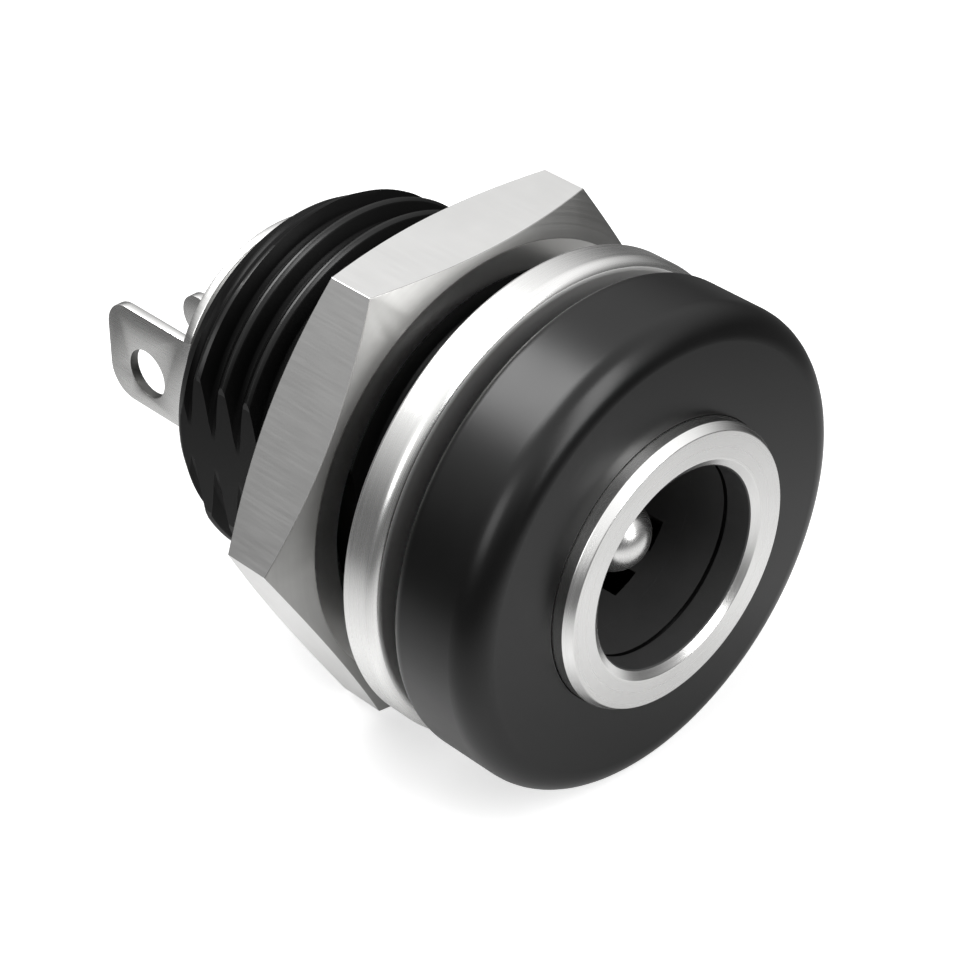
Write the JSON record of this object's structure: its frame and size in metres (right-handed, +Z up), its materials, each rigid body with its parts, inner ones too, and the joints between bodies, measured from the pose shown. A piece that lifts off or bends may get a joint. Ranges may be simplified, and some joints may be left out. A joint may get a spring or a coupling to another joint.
{
  "type": "panel mount power socket",
  "caption": "Round panel mount power socket with a threaded barrel, hexagon nut, flat washer, centre pin and rear solder tags.",
  "frame": {"origin": "on the socket's axis, in the head's rear face, which seats on the front of a panel", "axes": "+Y along the axis from the mouth to the solder tags, +Z up as pictured, +X to the right seen from the mouth"},
  "size_m": [0.0158, 0.019, 0.0142],
  "materials": {
    "black_moulding": "semi-gloss black moulded plastic",
    "dark_insulator": "satin dark moulded plastic",
    "nickel_plate": "satin nickel plate on brass",
    "spring_bronze": "plated spring bronze"
  },
  "bodies": {
    "socket": {"housing": "black_moulding", "mouth_ring": "nickel_plate", "contact_carrier": "dark_insulator", "centre_pin": "nickel_plate", "rear_plate": "nickel_plate", "sleeve_tag": "nickel_plate", "tip_tag": "nickel_plate", "pin_bush": "dark_insulator"},
    "washer": {"flat_washer": "nickel_plate"},
    "nut": {"hex_nut": "nickel_plate"},
    "spring": {"sleeve_spring": "spring_bronze"}
  },
  "joints": [
    {"name": "nut_run", "type": "slide", "parent": "socket", "child": "washer", "axis": [0, 1, 0], "range_m": [-0.00055, 0.015]},
    {"name": "nut_turn", "type": "hinge", "parent": "washer", "child": "nut", "pos_m": [0, 0, 0], "axis": [0, 1, 0], "range_deg": [-198, 5400]},
    {"name": "leaf_flex", "type": "hinge", "parent": "socket", "child": "spring", "pos_m": [0.00219, 0.01015, -0.00266], "axis": [0.7716, 0, 0.6361], "range_deg": [0, 1.5], "stiffness_Nm_per_rad": 0.3}
  ],
  "couplings": [
    {"joint": "nut_run", "follows": "nut_turn", "m_per_rad": 0.00015915}
  ]
}
